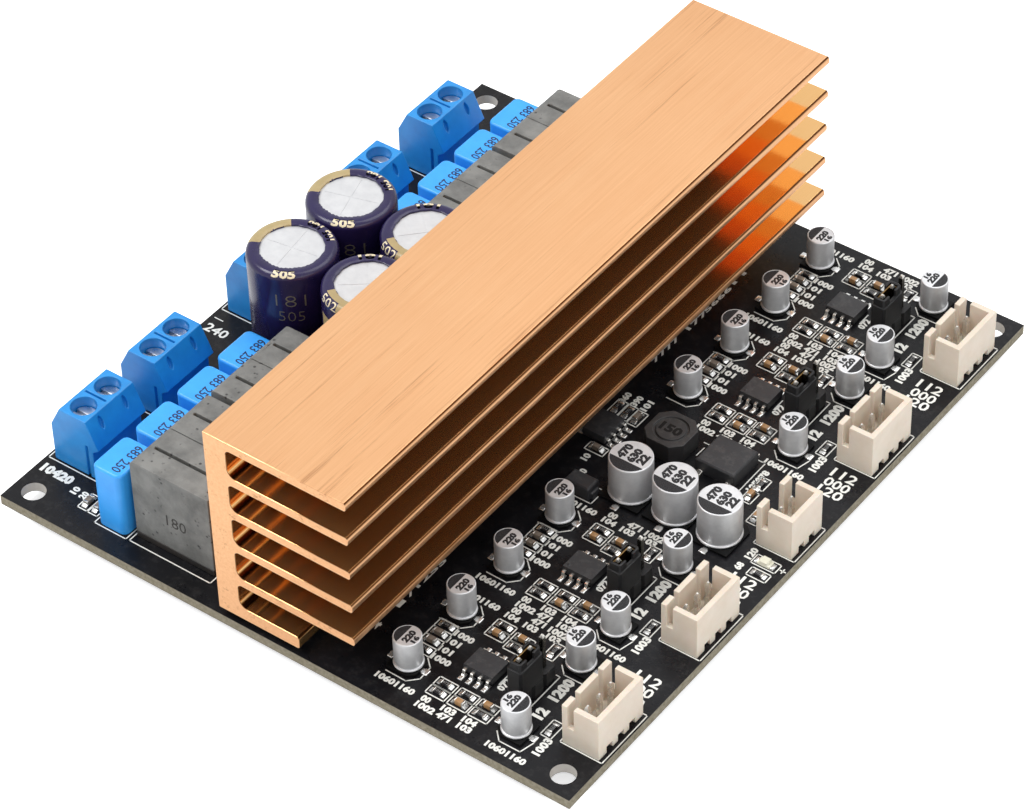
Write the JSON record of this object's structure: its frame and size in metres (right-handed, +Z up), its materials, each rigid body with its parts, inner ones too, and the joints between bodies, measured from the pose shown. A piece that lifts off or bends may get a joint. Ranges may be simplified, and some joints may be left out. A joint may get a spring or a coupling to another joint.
{
  "type": "audio amplifier board",
  "caption": "Rectangular audio amplifier circuit board with an upright finned heatsink along its middle, screw terminals and output filters on one side and input stages on the other.",
  "frame": {"origin": "centre of the four mounting holes, on the board's underside", "axes": "+X from the edge with the screw terminals to the edge with the input headers, +Y along the heatsink and the board's longer side, +Z up out of the component side"},
  "size_m": [0.096, 0.11, 0.0366],
  "materials": {
    "board": "gloss",
    "copper_tone_aluminium": "satin",
    "steel": "satin",
    "black_moulding": "matte",
    "heat_pad": "matte",
    "ferrite": "matte",
    "copper_wire": "satin",
    "dark_plastic": "satin",
    "light_blue_case": "satin",
    "dark_sleeve": "gloss",
    "blue_plastic": "satin",
    "tinned_metal": "polished",
    "gilded_metal": "polished",
    "ivory_plastic": "satin",
    "can_aluminium": "satin",
    "white_plastic": "satin",
    "resistor_body": "satin",
    "tan_ceramic": "matte"
  },
  "bodies": {
    "board": {"pcb": "board", "heatsink": "copper_tone_aluminium", "heatsink_screws": "steel", "power_chips": "black_moulding", "heat_pads": "heat_pad", "inductor_core_1": "ferrite", "inductor_core_2": "ferrite", "inductor_core_3": "ferrite", "inductor_core_4": "ferrite", "inductor_windings": "copper_wire", "inductor_bases": "dark_plastic", "film_capacitors": "light_blue_case", "bulk_capacitors": "dark_sleeve", "terminal_housing_1": "blue_plastic", "terminal_housing_2": "blue_plastic", "terminal_housing_3": "blue_plastic", "terminal_housing_4": "blue_plastic", "terminal_housing_5": "blue_plastic", "terminal_contacts": "tinned_metal", "input_headers": "ivory_plastic", "input_pins": "tinned_metal", "selector_bases": "dark_plastic", "selector_pins": "tinned_metal", "eight_lead_chips": "black_moulding", "small_capacitors": "can_aluminium", "large_capacitors": "can_aluminium", "power_inductor": "ferrite", "regulator": "black_moulding", "diode": "black_moulding", "status_led": "white_plastic", "chip_resistors": "resistor_body", "chip_capacitors": "tan_ceramic"},
    "terminal_screw_1": {"terminal_screw_1": "steel"},
    "terminal_clamp_1": {"terminal_clamp_1": "tinned_metal"},
    "terminal_screw_2": {"terminal_screw_2": "steel"},
    "terminal_clamp_2": {"terminal_clamp_2": "tinned_metal"},
    "terminal_screw_3": {"terminal_screw_3": "steel"},
    "terminal_clamp_3": {"terminal_clamp_3": "tinned_metal"},
    "terminal_screw_4": {"terminal_screw_4": "steel"},
    "terminal_clamp_4": {"terminal_clamp_4": "tinned_metal"},
    "terminal_screw_5": {"terminal_screw_5": "steel"},
    "terminal_clamp_5": {"terminal_clamp_5": "tinned_metal"},
    "terminal_screw_6": {"terminal_screw_6": "steel"},
    "terminal_clamp_6": {"terminal_clamp_6": "tinned_metal"},
    "terminal_screw_7": {"terminal_screw_7": "steel"},
    "terminal_clamp_7": {"terminal_clamp_7": "tinned_metal"},
    "terminal_screw_8": {"terminal_screw_8": "steel"},
    "terminal_clamp_8": {"terminal_clamp_8": "tinned_metal"},
    "terminal_screw_9": {"terminal_screw_9": "steel"},
    "terminal_clamp_9": {"terminal_clamp_9": "tinned_metal"},
    "terminal_screw_10": {"terminal_screw_10": "steel"},
    "terminal_clamp_10": {"terminal_clamp_10": "tinned_metal"},
    "jumper_cap_1": {"jumper_cap_1": "dark_plastic", "jumper_contact_1": "gilded_metal"},
    "jumper_cap_2": {"jumper_cap_2": "dark_plastic", "jumper_contact_2": "gilded_metal"},
    "jumper_cap_3": {"jumper_cap_3": "dark_plastic", "jumper_contact_3": "gilded_metal"},
    "jumper_cap_4": {"jumper_cap_4": "dark_plastic", "jumper_contact_4": "gilded_metal"}
  },
  "joints": [
    {"name": "terminal_screw_1_turn", "type": "hinge", "parent": "board", "child": "terminal_screw_1", "pos_m": [-0.04255, -0.04245, 0.0105], "axis": [0, 0, -1], "range_deg": [0, 1440]},
    {"name": "terminal_clamp_1_rise", "type": "slide", "parent": "board", "child": "terminal_clamp_1", "axis": [0, 0, 1], "range_m": [0, 0.0018]},
    {"name": "terminal_screw_2_turn", "type": "hinge", "parent": "board", "child": "terminal_screw_2", "pos_m": [-0.04255, -0.03745, 0.0105], "axis": [0, 0, -1], "range_deg": [0, 1440]},
    {"name": "terminal_clamp_2_rise", "type": "slide", "parent": "board", "child": "terminal_clamp_2", "axis": [0, 0, 1], "range_m": [0, 0.0018]},
    {"name": "terminal_screw_3_turn", "type": "hinge", "parent": "board", "child": "terminal_screw_3", "pos_m": [-0.04255, -0.02785, 0.0105], "axis": [0, 0, -1], "range_deg": [0, 1440]},
    {"name": "terminal_clamp_3_rise", "type": "slide", "parent": "board", "child": "terminal_clamp_3", "axis": [0, 0, 1], "range_m": [0, 0.0018]},
    {"name": "terminal_screw_4_turn", "type": "hinge", "parent": "board", "child": "terminal_screw_4", "pos_m": [-0.04255, -0.02285, 0.0105], "axis": [0, 0, -1], "range_deg": [0, 1440]},
    {"name": "terminal_clamp_4_rise", "type": "slide", "parent": "board", "child": "terminal_clamp_4", "axis": [0, 0, 1], "range_m": [0, 0.0018]},
    {"name": "terminal_screw_5_turn", "type": "hinge", "parent": "board", "child": "terminal_screw_5", "pos_m": [-0.04255, -0.00495, 0.0105], "axis": [0, 0, -1], "range_deg": [0, 1440]},
    {"name": "terminal_clamp_5_rise", "type": "slide", "parent": "board", "child": "terminal_clamp_5", "axis": [0, 0, 1], "range_m": [0, 0.0018]},
    {"name": "terminal_screw_6_turn", "type": "hinge", "parent": "board", "child": "terminal_screw_6", "pos_m": [-0.04255, 0.00005, 0.0105], "axis": [0, 0, -1], "range_deg": [0, 1440]},
    {"name": "terminal_clamp_6_rise", "type": "slide", "parent": "board", "child": "terminal_clamp_6", "axis": [0, 0, 1], "range_m": [0, 0.0018]},
    {"name": "terminal_screw_7_turn", "type": "hinge", "parent": "board", "child": "terminal_screw_7", "pos_m": [-0.04255, 0.01815, 0.0105], "axis": [0, 0, -1], "range_deg": [0, 1440]},
    {"name": "terminal_clamp_7_rise", "type": "slide", "parent": "board", "child": "terminal_clamp_7", "axis": [0, 0, 1], "range_m": [0, 0.0018]},
    {"name": "terminal_screw_8_turn", "type": "hinge", "parent": "board", "child": "terminal_screw_8", "pos_m": [-0.04255, 0.02315, 0.0105], "axis": [0, 0, -1], "range_deg": [0, 1440]},
    {"name": "terminal_clamp_8_rise", "type": "slide", "parent": "board", "child": "terminal_clamp_8", "axis": [0, 0, 1], "range_m": [0, 0.0018]},
    {"name": "terminal_screw_9_turn", "type": "hinge", "parent": "board", "child": "terminal_screw_9", "pos_m": [-0.04255, 0.03535, 0.0105], "axis": [0, 0, -1], "range_deg": [0, 1440]},
    {"name": "terminal_clamp_9_rise", "type": "slide", "parent": "board", "child": "terminal_clamp_9", "axis": [0, 0, 1], "range_m": [0, 0.0018]},
    {"name": "terminal_screw_10_turn", "type": "hinge", "parent": "board", "child": "terminal_screw_10", "pos_m": [-0.04255, 0.04035, 0.0105], "axis": [0, 0, -1], "range_deg": [0, 1440]},
    {"name": "terminal_clamp_10_rise", "type": "slide", "parent": "board", "child": "terminal_clamp_10", "axis": [0, 0, 1], "range_m": [0, 0.0018]},
    {"name": "jumper_cap_1_lift", "type": "slide", "parent": "board", "child": "jumper_cap_1", "axis": [0, 0, 1], "range_m": [0, 0.008]},
    {"name": "jumper_cap_2_lift", "type": "slide", "parent": "board", "child": "jumper_cap_2", "axis": [0, 0, 1], "range_m": [0, 0.008]},
    {"name": "jumper_cap_3_lift", "type": "slide", "parent": "board", "child": "jumper_cap_3", "axis": [0, 0, 1], "range_m": [0, 0.008]},
    {"name": "jumper_cap_4_lift", "type": "slide", "parent": "board", "child": "jumper_cap_4", "axis": [0, 0, 1], "range_m": [0, 0.008]}
  ],
  "couplings": [
    {"joint": "terminal_screw_1_turn", "follows": "terminal_clamp_1_rise", "rad_per_m": 13963},
    {"joint": "terminal_screw_2_turn", "follows": "terminal_clamp_2_rise", "rad_per_m": 13963},
    {"joint": "terminal_screw_3_turn", "follows": "terminal_clamp_3_rise", "rad_per_m": 13963},
    {"joint": "terminal_screw_4_turn", "follows": "terminal_clamp_4_rise", "rad_per_m": 13963},
    {"joint": "terminal_screw_5_turn", "follows": "terminal_clamp_5_rise", "rad_per_m": 13963},
    {"joint": "terminal_screw_6_turn", "follows": "terminal_clamp_6_rise", "rad_per_m": 13963},
    {"joint": "terminal_screw_7_turn", "follows": "terminal_clamp_7_rise", "rad_per_m": 13963},
    {"joint": "terminal_screw_8_turn", "follows": "terminal_clamp_8_rise", "rad_per_m": 13963},
    {"joint": "terminal_screw_9_turn", "follows": "terminal_clamp_9_rise", "rad_per_m": 13963},
    {"joint": "terminal_screw_10_turn", "follows": "terminal_clamp_10_rise", "rad_per_m": 13963}
  ]
}
